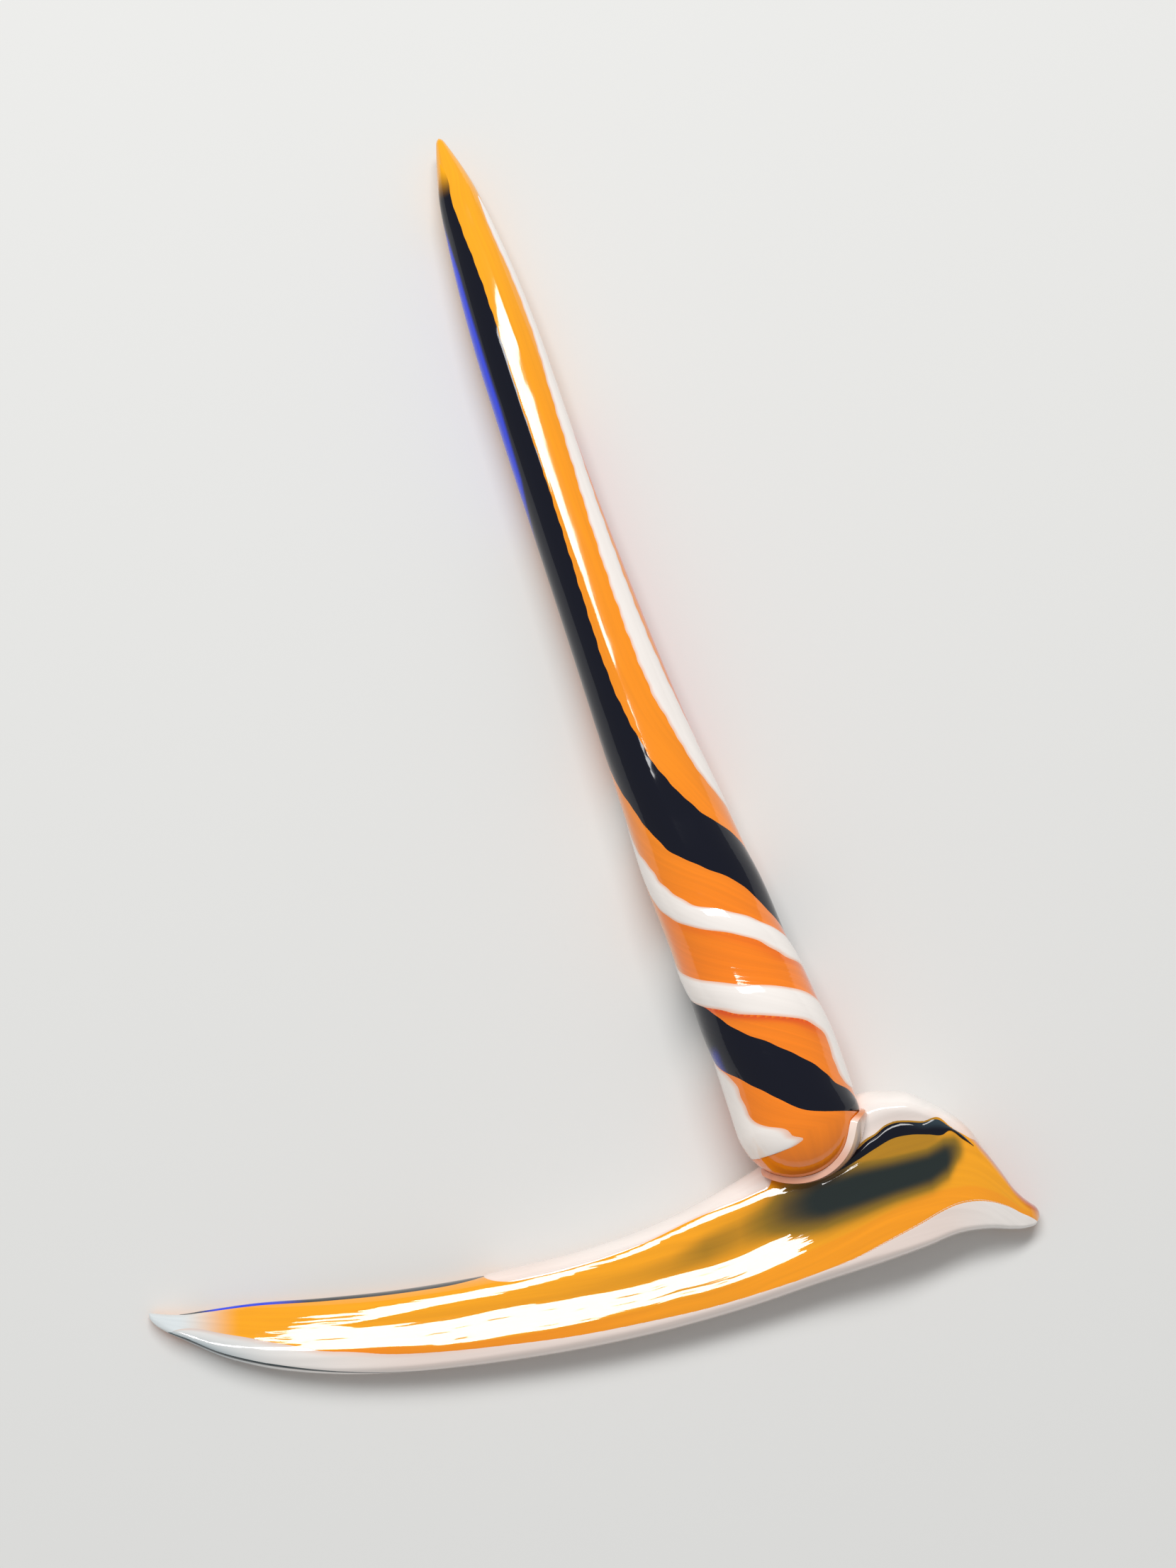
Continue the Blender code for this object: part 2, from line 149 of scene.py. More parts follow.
# Height of the blade's ridge over the table, at distances along the chord.
BLADE_TOP = (
    (0, 1.2), (1.5, 1.9), (4.5, 2.5), (9, 3.2), (15, 3.9), (24, 4.5), (32.5, 4.8), (41.5, 5.0), (50.3, 5.2),
    (56, 5.6), (61.5, 6.4), (65.1, 6.6), (68.1, 6.2), (71, 5.3), (73.1, 4.1), (74.9, 2.8), (75.5, 2.1),
)
# Creases and changes of slope across the blade's top, from its upper edge to its lower one.
STRIP_TOP = (
    (0, .05), (3.2, -.42), (6.2, -.75), (9.1, -1.1), (12, -1.2), (17.9, -1.2), (20.8, -1.02), (26.7, -.7),
    (29.6, -.5), (35.5, .1), (41.3, 1.3), (47.2, 3.25), (50.2, 4.0), (52.5, 4.7), (56, 5.25), (59, 6.3),
    (62, 8.0), (65, 8.5), (68, 8.3), (70, 6.6), (72, 3.9), (74, 1.2), (75.5, .05),
)
STRIP_FOOT = (
    (0, 0), (3, -.9), (9, -2.0), (15, -2.3), (20.8, -2.0), (23.8, -1.7), (29.6, -1.3), (35.5, -.5),
    (41.3, .7), (47.2, 2.6), (50.2, 3.4), (53, 4.15), (56, 4.4), (59, 5.2), (62, 6.6), (65, 7.1), (68, 6.8),
    (70, 5.6), (72, 3.2), (74, .9), (75.5, .02),
)
FACET_TOP = (
    (0, -.02), (3, -1.0), (9, -2.1), (15, -2.5), (20.8, -2.7), (26.7, -2.6), (29.6, -2.4), (35.5, -2.15),
    (41.4, -1.7), (44.3, -1.2), (47.2, -.9), (50.2, -.2), (52, .4), (56, 1.6), (59, 2.8), (62, 4.0),
    (65, 4.6), (68, 4.8), (70, 4.2), (72, 2.6), (74, .7), (75.5, 0),
)
FACET_FOOT = (
    (0, -.05), (3, -1.5), (6, -2.7), (9, -3.5), (15, -4.2), (20.9, -4.5), (23.8, -4.75), (29.7, -4.75),
    (35.5, -4.4), (41.4, -3.7), (47.3, -2.8), (50.2, -2.2), (53.1, -1.4), (56, -.4), (59, .6), (62, 1.8),
    (65, 2.8), (68, 3.2), (70, 3.0), (72, 2.0), (74, .45), (75.5, -.02),
)
RIDGE = (
    (0, -.08), (3, -1.7), (6, -3.05), (9, -3.95), (12.5, -4.45), (16.2, -4.75), (20.9, -5.05), (26.8, -5.3),
    (29.7, -5.3), (35.5, -5.2), (41.4, -4.75), (47.3, -4.1), (50.2, -3.6), (53.1, -3.0), (56.1, -2.3),
    (59, -1.5), (62, -.3), (65, .9), (66.4, 1.5), (67.9, 1.95), (69.1, 2.05), (70.9, 1.75), (72.4, 1.1),
    (74.1, .1), (75.5, -.05),
)
# Upper edge of the lower white cane, which leaves the ridge near the point.
LOWER_WHITE_TOP = (
    (0, -.05), (3, -.95), (6, -1.9), (8.9, -2.65), (10.1, -3.0), (11.9, -3.45), (14.8, -4.2), (16.6, -4.45),
) + RIDGE[6:]
# Slope of each band in degrees, rising away from the upper edge, at distances along the chord in mm.
SLOPES = (
    (0, 34, 24, 24, 24, 24, -12), (5, 34, 25, 25, 23, 18, -14), (9, 35, 22, 20, 17, 6, -16),
    (12, 36, 18, 16, 16, 3, -16), (14, 36, 16, 16, 16, 3, -16), (18, 38, 16, 4, 16, 3, -16),
    (50, 34, 16, 4, 16, 2, -17), (54, 28, 16, 3, 16, 2, -17), (57, 6, 4, 3, 4, 3, -17),
    (64, 4, 0, 3, 3, 3, -17), (70, 8, 4, 4, 4, 4, -18), (75.5, 14, 6, 6, 6, 3, -18),
)
BAND_SOFTNESS = 0.07  # mm over which one slope turns into the next
# How far the top's rounding reaches in from each edge, and the underside's from both.
UPPER_ROUNDING = ((0, .2), (5, .5), (30, .7), (50, .95), (60, 1.5), (72, 1.2), (75.5, .3))
LOWER_ROUNDING = ((0, .2), (5, .6), (30, .95), (60, 1.1), (75.5, .3))
UNDER_ROUNDING = 2.2
# Height of each edge's outermost line, as a share of the ridge's height.
UPPER_LINE = ((0, .42), (10, .36), (50, .36), (60, .5), (75.5, .5))
LOWER_LINE = 0.46
POINT_ROUNDING = 0.5  # mm of chord over which the point closes
HEEL_ROUNDING = 0.9  # mm of chord over which the heel closes
# Folds at the heel, as plan lines with a height in mm and a width in mm.
HEEL_FOLDS = (
    (((54, 4.6), (57, 5.1), (59.1, 5.9), (61.8, 7.5), (63.2, 8.2), (66.2, 8.0), (68.6, 7.9), (70.2, 6.6)),
     -.04, .46),
    (((56, 4.0), (60, 5.2), (62.6, 6.5), (65, 6.8), (67.6, 6.1)), .05, .95),
    (((55, 2.4), (58, 3.0), (61, 3.9), (64, 4.6), (67.5, 5.3)), -.08, 1.10),
    (((60, 9.2), (63.5, 10.2), (66, 9.9), (68.4, 8.8), (70.4, 6.9)), .28, .80),
)
# Upper and lower edge of the cobalt line along the blade's lower edge.
COBALT_LINE_TOP = (
    (1.7, -1.25), (3, -1.75), (6, -3.2), (9, -4.25), (12, -5.05), (17.9, -6.2), (23.8, -6.74), (29.5, -6.84),
)
COBALT_LINE_FOOT = (
    (1.7, -1.56), (3, -2.2), (6, -3.75), (9, -4.78), (12, -5.52), (17.9, -6.45), (23.8, -6.86), (29.5, -6.9),
)
# Inner edge of the heel's white cane, and the lower edge of the cobalt one beside it.
HEEL_WHITE_INNER = (
    (58, 6.2), (59.3, 6.8), (60.3, 7.4), (61.2, 8.0), (61.9, 8.3), (62.8, 8.9), (63.7, 9.15), (64.7, 9.1),
    (65.9, 8.9), (67.5, 8.95), (68.2, 8.2), (69.2, 7.4), (69.9, 6.75), (70.6, 6.3), (71.4, 5.4),
)
HEEL_COBALT_LOW = (
    (55.6, 4.75), (58.2, 5.45), (59.1, 5.8), (60.3, 6.35), (61.8, 7.1), (63.3, 7.75), (64.8, 7.9),
    (66.3, 7.75), (67.5, 7.6), (68.1, 7.85), (69.2, 6.95), (70.1, 6.2),
)
HEEL_COBALT_HIGH = (
    (55.6, 4.95), (58.2, 5.95), (59.1, 6.4), (60.3, 7.15), (61.2, 7.8), (61.9, 8.15), (62.8, 8.75),
    (63.7, 9.0), (64.7, 8.95), (65.9, 8.78), (67.3, 8.85), (68.2, 8.15), (69.2, 7.35), (70.1, 6.35),
)
# Cobalt showing through the orange: mm along the chord, centre of the shadow, half-width, strength.
COBALT_SHADOW = (
    (30, -2.2, .7, .00), (36, -1.8, .8, .08), (41, -1.1, .9, .14), (44, -.6, 1.0, .20), (47, .4, 1.3, .32),
    (50, 1.4, 1.6, .26), (52, 2.1, 1.75, .40), (54, 2.8, 1.8, .70), (57, 3.4, 1.75, .97), (60, 4.0, 1.6, 1.0),
    (63, 4.5, 1.35, 1.0), (66, 5.0, 1.25, .98), (67.5, 5.7, 1.2, .92), (68.4, 6.3, .9, .6),
    (69.4, 6.4, .7, .0),
)

COLLAR_DEGREE = 0.09  # mm of the collar in a degree round the bulb
POLE_GAP = 0.004  # mm between a gather's end and its first ring, which a fan closes
CANE_REACH = 1.2  # how far a cane's lens goes, in half-widths: past 1 it is under its gather's skin
SHARP_ANGLE = math.radians(38)  # between two faces, past which the edge between them isn't shaded smooth

# The softbox: how far it stands off the vertical towards +Y and towards +X, its spin about its aim, and
# its distance and size in metres.
KEY_TILT = math.radians(27.2)
KEY_SWING = math.radians(-4.5)
KEY_SPIN = math.radians(21)
KEY_DISTANCE = 0.6
KEY_SIZE = (0.48, 0.13)
# The camera: its tilt off the vertical, the spot on the table that it is aimed at, in mm, and its
# distance from there in metres.
CAMERA_TILT = math.radians(8)
CAMERA_AIM = (-0.59, -4.30)
CAMERA_DISTANCE = 0.19


def linear(code):
    """The linear colour of an sRGB hex value, by the standard's two-part curve."""
    parts = [int(code[i:i + 2], 16) / 255 for i in (1, 3, 5)]
    return tuple(c / 12.92 if c <= 0.04045 else ((c + 0.055) / 1.055) ** 2.4 for c in parts)


def smooth(table, column, at):
    """Cubic curve through a table's column. A point's slope is the mean of its spans', weighted by span."""
    x = np.array([row[0] for row in table], float)
    y = np.array([row[column] for row in table], float)
    span = np.diff(x)
    rise = np.diff(y) / span
    between = (rise[:-1] * span[1:] + rise[1:] * span[:-1]) / (span[1:] + span[:-1])
    slope = np.concatenate([rise[:1], between, rise[-1:]])
    at = np.clip(at, x[0], x[-1])
    i = np.clip(np.searchsorted(x, at, side="right") - 1, 0, len(span) - 1)
    t = (at - x[i]) / span[i]
    bend_in = t * (1 - t) ** 2 * slope[i] * span[i]
    bend_out = -(t ** 2) * (1 - t) * slope[i + 1] * span[i]
    return y[i] + (y[i + 1] - y[i]) * t ** 2 * (3 - 2 * t) + bend_in + bend_out


def straight(table, column, at):
    """The table's column joined up by straight lines."""
    return np.interp(at, [row[0] for row in table], [row[column] for row in table])


def ease(value, start, end):
    """0 before start, 1 after end, and an S-curve between: three times the square less twice the cube."""
    t = np.clip((value - start) / (end - start), 0, 1)
    return t * t * (3 - 2 * t)


class ToolSizes(PropertyGroup):
    """Sizes of the tool."""

    handle_length: FloatProperty(
        name="Handle length", description="From the handle's tip to the far side of its bulb",
        default=97.3 * MM, min=0.06, max=0.16, unit="LENGTH")
    blade_length: FloatProperty(
        name="Blade length", description="The blade's chord, from its point to its heel",
        default=CHORD * MM, min=0.05, max=0.12, unit="LENGTH")
    blade_slope: FloatProperty(
        name="Blade slope", description="Angle of the blade's chord from X",
        default=math.radians(6.45), subtype="ANGLE")
    handle_angle: FloatProperty(
        name="Handle angle", description="Between the blade's chord and the handle",
        default=math.radians(78.25), subtype="ANGLE")
    seat_share: FloatProperty(
        name="Seat", description="Share of the chord at which the handle is fused on",
        default=0.751, min=0.5, max=0.9, subtype="FACTOR")
    seat_depth: FloatProperty(
        name="Seat depth", description="How far the bulb is sunk below the blade's upper edge",
        default=3.5 * MM, min=0.001, max=0.006, unit="LENGTH")
    bulb_radius: FloatProperty(
        name="Bulb radius", description="Radius of the handle's fused end",
        default=5.25 * MM, min=0.003, max=0.008, unit="LENGTH")
    cane_relief: FloatProperty(
        name="Cane relief", description="How far a melted-in cane stands proud of its gather",
        default=0.09 * MM, min=0.0, max=0.0005, unit="LENGTH")


class ToolColours(PropertyGroup):
    """Colours of the glass."""

    orange: FloatVectorProperty(
        name="Orange", description="Opaque orange glass where it was heated least",
        default=linear("#FFB00C"), size=3, min=0, max=1, subtype="COLOR")
    struck_orange: FloatVectorProperty(
        name="Struck orange", description="The same glass where more heat has struck it redder",
        default=linear("#FF7A05"), size=3, min=0, max=1, subtype="COLOR")
    white: FloatVectorProperty(
        name="White", description="Opaque white glass",
        default=linear("#FBF4EE"), size=3, min=0, max=1, subtype="COLOR")
    cobalt: FloatVectorProperty(
        name="Cobalt", description="Dense cobalt glass, nearly black where it is thick",
        default=linear("#03071A"), size=3, min=0, max=1, subtype="COLOR")
    # Painted light: the blue of light shining through the cobalt where it is drawn thin.
    thin_backlit_cobalt: FloatVectorProperty(
        name="Thin cobalt", description="The same glass where it is drawn thin",
        default=linear("#0038F0"), size=3, min=0, max=1, subtype="COLOR")
    weld: FloatVectorProperty(
        name="Weld", description="White glass stained by the orange in the weld",
        default=linear("#F2A885"), size=3, min=0, max=1, subtype="COLOR")


class StageSettings(PropertyGroup):
    """The stage and its light."""

    floor: FloatVectorProperty(
        name="Floor", description="Colour of the plain floor",
        default=linear("#E4E4E2"), size=3, min=0, max=1, subtype="COLOR")
    key_power: FloatProperty(
        name="Key light", description="Power of the softbox", default=2.9, min=0, max=20, unit="POWER")
    room: FloatProperty(
        name="Room light", description="Brightness of the room around the stage", default=0.35, min=0, max=2)


class Layout:
    """The tool's layout in mm, worked out from the sizes."""

    def __init__(self, sizes):
        self.handle_length = sizes.handle_length / MM
        self.blade_scale = sizes.blade_length / MM / CHORD
        self.bulb = sizes.bulb_radius / MM
        slope, lean = sizes.blade_slope, sizes.blade_slope - sizes.handle_angle
        self.blade_axis = np.array([math.cos(slope), math.sin(slope), 0])
        self.blade_side = np.array([-math.sin(slope), math.cos(slope), 0])
        self.down = np.array([math.cos(lean), math.sin(lean), 0])
        self.right = np.array([-math.sin(lean), math.cos(lean), 0])
        seat = sizes.seat_share * CHORD
        rise = float(smooth(UPPER_EDGE, 1, seat)) * self.blade_scale - sizes.seat_depth / MM
        self.handle_end = self.blade_axis * seat * self.blade_scale + self.blade_side * rise
        self.shift = np.zeros(3)
        self.shift = self.over_the_frame()

    def over_the_frame(self):
        """The move that brings the middle of the layout's box over the middle of the frame's."""
        along, turn = np.meshgrid(np.linspace(0, self.handle_length, 120), np.linspace(0, 360, 73))
        chord, around = np.meshgrid(np.linspace(0, CHORD_END, 300), np.linspace(-1, 1, 41))
        skins = self.handle(along, turn), self.blade(chord, around)
        spots = np.concatenate([skin.reshape(-1, 3) for skin in skins])
        low, high = (np.array(corner) / MM for corner in FRAME_BOX)
        middle = (low + high) / 2 - (spots.min(axis=0) + spots.max(axis=0)) / 2
        return np.array([middle[0], middle[1], low[2] - spots[:, 2].min()])

    def handle(self, along, turn):
        """Point of the handle's skin: mm along it, degrees to the left of its crest.

        A circle of the table's radius about a centre line that is bowed and lifted by two more tables. Where
        it is twisted, a sine of three times the angle adds three low lobes. Half an ellipsoid closes the
        bulb, a quarter of an ellipse the tip, and nothing reaches below the table.
        """
        share = along / self.handle_length
        growth = self.bulb / HANDLE_RADII[-1][1] - 1
        full = smooth(HANDLE_RADII, 1, share) * (1 + growth * ease(share, 0.7, 0.95))
        past = np.clip((along - self.handle_length) / HANDLE_DOME + 1, 0, 1)
        before = np.clip(1 - along / HANDLE_TIP, 0, 1)
        angle = np.radians(turn)
        turned = angle - np.radians(self.twist(along))
        swell = TWIST_LOBES * np.sin(3 * turned + 1.2) * ease(share, 0.62, 0.74)
        radius = (full - GATHER_INSET + swell) * np.sqrt(1 - past ** 2) * np.sqrt(1 - before ** 2)
        bow = smooth(HANDLE_BOW, 1, share) - HANDLE_BOW[-1][1]
        spot = (
            self.handle_end
            + (along - self.handle_length)[..., None] * self.down
            + (bow - radius * np.sin(angle))[..., None] * self.right
        )
        spot[..., 2] = np.maximum(full + smooth(HANDLE_LIFT, 1, share) + radius * np.cos(angle), 0)
        return spot + self.shift

    def twist(self, along):
        """How far the glass was twisted there, in degrees: the middle of the cobalt cane."""
        share = along / self.handle_length
        return (smooth(COBALT_LOW, 1, share) + smooth(COBALT_HIGH, 1, share)) / 2

    def blade(self, chord, around):
        """Point of the blade's skin: mm along its chord, and a place round its section.

        0 is the upper edge, 0 to 1 crosses the top to the lower edge, and 1 to 2 (or 0 to -1) the underside.
        The distance across goes as half of one less the cosine of pi times the place.
        """
        upper, lower = smooth(UPPER_EDGE, 1, chord), smooth(LOWER_EDGE, 1, chord)
        width = np.maximum(upper - lower, 0.02)
        across = width * (1 - np.cos(np.pi * around)) / 2
        on_top = np.sin(np.pi * around) >= 0
        top = blade_height(chord, across, upper, width)
        height = np.where(on_top, top, blade_underside(chord, across, upper, width))
        spot = (
            (chord * self.blade_scale)[..., None] * self.blade_axis
            + ((upper - across) * self.blade_scale)[..., None] * self.blade_side
        )
        spot[..., 2] = np.maximum(height, 0)
        return spot + self.shift


def end_closing(chord):
    """1 along the blade, falling as a quarter of an ellipse over its rounded point and heel."""
    point = np.clip(1 - chord / POINT_ROUNDING, 0, 1)
    heel = np.clip((chord - CHORD_END) / HEEL_ROUNDING + 1, 0, 1)
    return np.sqrt(1 - point ** 2) * np.sqrt(np.maximum(1 - heel ** 2, 0))


def edge_heights(chord):
    """Height of the upper and of the lower edge's outermost line: each a share of the ridge's."""
    top = smooth(BLADE_TOP, 1, chord)
    return top * straight(UPPER_LINE, 1, chord), top * LOWER_LINE


def ramps(chord, across, upper):
    """Height of the blade's bands: each is a ramp of its own slope, joined to the next by a softened corner.

    A corner at b between slopes p and q adds (q - p) times w times the log of one plus e to (x - b) / w.
    """
    lines = (STRIP_TOP, STRIP_FOOT, FACET_TOP, FACET_FOOT, RIDGE)
    corners = [upper - smooth(line, 1, chord) for line in lines]
    slopes = [np.tan(np.radians(straight(SLOPES, column, chord))) for column in range(1, 7)]
    height = slopes[0] * across
    for corner, slope, following in zip(corners, slopes, slopes[1:]):
        bend = BAND_SOFTNESS * np.logaddexp(0, (across - corner) / BAND_SOFTNESS)
        height = height + (following - slope) * bend
    return height, corners[-1]


def folds(chord, across, upper):
    """The heel's folds: each a bell curve of the distance from its plan line, easing in and out at its ends.

    That distance is the one across the chord, times the cosine of the line's own slant.
    """
    height = 0
    heel = np.linspace(50, 76, 261)
    for line, rise, spread in HEEL_FOLDS:
        first, last = line[0][0], line[-1][0]
        ends = ease(chord, first - 3, first + 2) * ease(-chord, -last - 1.2, -last + 0.8)
        slant = np.cos(np.arctan(np.gradient(straight(line, 1, heel), heel[1] - heel[0])))
        apart = (upper - across - smooth(line, 1, chord)) * np.interp(chord, heel, slant)
        height = height + rise * ends * np.exp(-(apart / spread) ** 2)
    return height


def blade_height(chord, across, upper, width):
    """Height of the blade's top: its bands and folds hung from the ridge, rounded down to both edges."""
    ramp, ridge = ramps(chord, across, upper)
    at_ridge, _ = ramps(chord, ridge, upper)
    at_upper, _ = ramps(chord, np.zeros_like(across), upper)
    at_lower, _ = ramps(chord, width, upper)
    top = smooth(BLADE_TOP, 1, chord)
    left, right = edge_heights(chord)
    round_left = np.minimum(straight(UPPER_ROUNDING, 1, chord), width / 3)
    round_right = np.minimum(straight(LOWER_ROUNDING, 1, chord), width / 3)
    fall_left = np.maximum(top - at_ridge + at_upper - left, 0.05)
    fall_right = np.maximum(top - at_ridge + at_lower - right, 0.05)
    near_left = np.clip(1 - across / round_left, 0, 1)
    near_right = np.clip(1 - (width - across) / round_right, 0, 1)
    height = top - at_ridge + ramp + folds(chord, across, upper)
    height = height - fall_left * (1 - np.sqrt(1 - near_left ** 2))
    height = height - fall_right * (1 - np.sqrt(1 - near_right ** 2))
    middle = (left + right) / 2
    return middle + (height - middle) * end_closing(chord)


def blade_underside(chord, across, upper, width):
    """Height of the underside: a quarter of an ellipse from each edge down to the flat on the table."""
    left, right = edge_heights(chord)
    reach = np.minimum(UNDER_ROUNDING, width / 2)
    near_left = np.clip(1 - across / reach, 0, 1)
    near_right = np.clip(1 - (width - across) / reach, 0, 1)
    height = left * (1 - np.sqrt(1 - near_left ** 2)) + right * (1 - np.sqrt(1 - near_right ** 2))
    middle = (left + right) / 2
    return middle + (height - middle) * end_closing(chord)


def place_across(table, chord):
    """The place round the section, from 0 to 1, of a plan line on the blade's top."""
    upper, lower = smooth(UPPER_EDGE, 1, chord), smooth(LOWER_EDGE, 1, chord)
    share = np.clip((upper - smooth(table, 1, chord)) / np.maximum(upper - lower, 0.02), 0, 1)
    return np.arccos(1 - 2 * share) / np.pi


def outward(surface, first, second):
    """Outward normals of a surface: the cross product of its two central differences."""
    step = 1e-3
    one = surface(first + step, second) - surface(first - step, second)
    two = surface(first, second + step) - surface(first, second - step)
    normal = np.cross(two, one)
    return normal / np.maximum(np.linalg.norm(normal, axis=-1, keepdims=True), 1e-12)


def with_poles(rings):
    """The rings' points in one list, and after them the mean of the first ring and of the last."""
    poles = rings[:1].mean(axis=1), rings[-1:].mean(axis=1)
    return np.concatenate([rings.reshape(-1, rings.shape[-1]), *poles])


def closed(name, rows, glass, solid, facts):
    """A closed mesh over rings of as many points each: squares between the rings and a fan at both poles.

    facts are float or vector attributes given at the same grid; a pole takes its ring's mean. The mesh
    stands for the frame's solid, which it hides, hangs on the root body, and takes the glass it is given.
    """
    count, round_count = rows.shape[:2]
    ids = np.arange(count * round_count).reshape(count, round_count)
    beside = np.roll(ids, -1, axis=1)
    squares = np.stack([ids[:-1], beside[:-1], beside[1:], ids[1:]], axis=-1).reshape(-1, 4)
    start, end = count * round_count, count * round_count + 1
    fans = np.concatenate([
        np.stack([beside[0], ids[0], np.full(round_count, start)], axis=-1),
        np.stack([ids[-1], beside[-1], np.full(round_count, end)], axis=-1),
    ])
    spots = with_poles(rows) * MM
    triangles = np.concatenate([squares[:, :3], squares[:, [0, 2, 3]], fans])
    a, b, c = (spots[triangles[:, i]] for i in range(3))
    if np.einsum("ij,ij->", a, np.cross(b, c)) < 0:
        squares, fans = squares[:, ::-1], fans[:, ::-1]
    mesh = bpy.data.meshes.new(name)
    mesh.from_pydata(spots.tolist(), [], squares.tolist() + fans.tolist())
    mesh.shade_smooth()
    mesh.set_sharp_from_angle(angle=SHARP_ANGLE)
    for fact, values in facts.items():
        values = np.broadcast_to(values, rows.shape if np.ndim(values) == 3 else rows.shape[:2])
        width = 3 if values.ndim == 3 else 1
        flat = with_poles(values.reshape(count, round_count, width))
        kind, field = ("FLOAT_VECTOR", "vector") if width == 3 else ("FLOAT", "value")
        mesh.attributes.new(fact, kind, "POINT").data.foreach_set(field, flat.astype(np.float32).ravel())
    piece = bpy.data.objects.new(name, mesh)
    bpy.context.scene.collection.objects.link(piece)
    mesh.materials.append(glass)
    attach(piece, "root")
    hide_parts(solid)


def cane_rows(surface, first, last, edges, relief, depth, ends, rows=900, columns=44):
    """Grid of a cane: a lens of glass that crosses its gather's skin at the two edges, with a sunk underside.

    Its height over the skin is relief times one less the square of the place across in half-widths, out to
    the reach. Its half-width closes at each end as the root of one less the square of the share left, and a
    sine brings the rows a little closer together at both ends.
    """
    share = np.linspace(0, 1, rows)
    along = first + (last - first) * (share + 0.06 * np.sin(2 * np.pi * (share - 0.5)) / np.pi)
    low, high = edges(along)
    near = np.clip(1 - np.stack([(along - first) / ends[0], (last - along) / ends[1]]), 0, 1)
    drawn = np.maximum(np.prod(np.sqrt(1 - near ** 2), axis=0), 0.02)
    reach = np.linspace(-CANE_REACH, CANE_REACH, columns)
    under = np.linspace(1.1, -1.1, 14)
    across = np.concatenate([reach, under])
    lift = np.concatenate([relief * (1 - reach ** 2), np.full(len(under), -depth)])
    grid_along = np.repeat(along[:, None], len(across), axis=1)
    middle, half = (low + high)[:, None] / 2, ((high - low) / 2 * drawn)[:, None]
    grid_around = middle + half * across
    grid_lift = np.where(lift > 0, lift * drawn[:, None] ** 0.5, lift * np.minimum(drawn[:, None] * 1.5, 1))
    normals = outward(surface, grid_along, grid_around)
    points = surface(grid_along, grid_around) + normals * grid_lift[..., None]
    points[..., 2] = np.maximum(points[..., 2], FRAME_BOX[0].z / MM)
    return points, grid_along, grid_around, np.broadcast_to(np.clip(across, -1, 1), grid_along.shape)


def node(tree, kind, feeds=(), **settings):
    """Adds a node with its settings, and feeds its inputs, by name or number, with a socket or a value."""
    made = tree.nodes.new(kind)
    for name, value in settings.items():
        setattr(made, name, value)
    for name, value in dict(feeds).items():
        if isinstance(value, bpy.types.NodeSocket):
            tree.links.new(value, made.inputs[name])
        else:
            made.inputs[name].default_value = value
    return made


def fresh_glass(name, colour, layers, roughness, streak, ripple, ior=1.52, coat=0.45):
    """An opaque soft glass, fire-polished in a flame: a bright gloss over colour streaked as it was drawn.

    layers are (attribute, colour): each is laid over the last by the attribute's value. streak is how far the
    brightness varies along the drawn lines, and ripple the depth in mm of the fine waves left in the surface.
    coat is how much of the skin has the sharper mirror of a hotter polish.
    """
    glass = bpy.data.materials.new(name)
    glass.use_nodes = True
    tree = glass.node_tree
    tree.nodes.clear()
    # Drawn glass keeps streaks about half a millimetre apart and some fifteen long.
    flow = node(tree, "ShaderNodeAttribute", attribute_name="flow").outputs["Vector"]
    drawn = node(tree, "ShaderNodeMapping", {"Vector": flow, "Scale": (2.0, 2.0, 0.07)}).outputs["Vector"]
    streaks = node(tree, "ShaderNodeTexNoise", {
        "Vector": drawn, "Scale": 1.0, "Detail": 3.0, "Roughness": 0.55,
    }).outputs["Fac"]
    # A Mix node of colours has its factor at input 0, its colours at 6 and 7, and its result at output 2.
    shade = (*colour, 1)
    for attribute, over in layers:
        mask = node(tree, "ShaderNodeAttribute", attribute_name=attribute).outputs["Fac"]
        shade = node(tree, "ShaderNodeMix", {0: mask, 6: shade, 7: (*over, 1)}, data_type="RGBA").outputs[2]
    level = node(tree, "ShaderNodeMapRange", {
        "Value": streaks, "From Min": 0.3, "From Max": 0.7, "To Min": 1 - streak, "To Max": 1 + streak,
    }).outputs["Result"]
    tone = node(tree, "ShaderNodeHueSaturation", {"Value": level, "Color": shade})
    # The waves are wider than the streaks, about two thirds of a millimetre apart and ten long.
    wave = node(tree, "ShaderNodeMapping", {"Vector": flow, "Scale": (1.5, 1.5, 0.10)}).outputs["Vector"]
    waves = node(tree, "ShaderNodeTexNoise", {
        "Vector": wave, "Scale": 1.0, "Detail": 2.0, "Roughness": 0.5,
    }).outputs["Fac"]
    rippled = node(tree, "ShaderNodeBump", {
        "Height": waves, "Strength": 1.0, "Distance": ripple * MM,
    }).outputs["Normal"]
    shader = node(tree, "ShaderNodeBsdfPrincipled", {
        "Base Color": tone.outputs["Color"], "Normal": rippled, "Roughness": roughness, "IOR": ior,
        "Coat Weight": coat, "Coat Normal": rippled, "Coat Roughness": 0.03, "Coat IOR": 1.6,
    })
    node(tree, "ShaderNodeOutputMaterial", {"Surface": shader.outputs["BSDF"]})
    glass.diffuse_color = (*colour, 1)
    return glass


def sheet_of_paper(name, colour):
    """Matt paper, pressed and uncoated: to the eye an even pale colour with no gloss."""
    paper = bpy.data.materials.new(name)
    paper.use_nodes = True
    shader = paper.node_tree.nodes["Principled BSDF"]
    shader.inputs["Base Color"].default_value = (*colour, 1)
    shader.inputs["Roughness"].default_value = 0.95
    shader.inputs["Specular IOR Level"].default_value = 0.15
    return paper


def handle_flow(layout, along, turn):
    """Where the glass came from: a point of a 4 mm rod before it was twisted, in mm."""
    angle = np.radians(turn - layout.twist(along))
    return np.stack([4 * np.cos(angle), 4 * np.sin(angle), np.broadcast_to(along, angle.shape)], axis=-1)


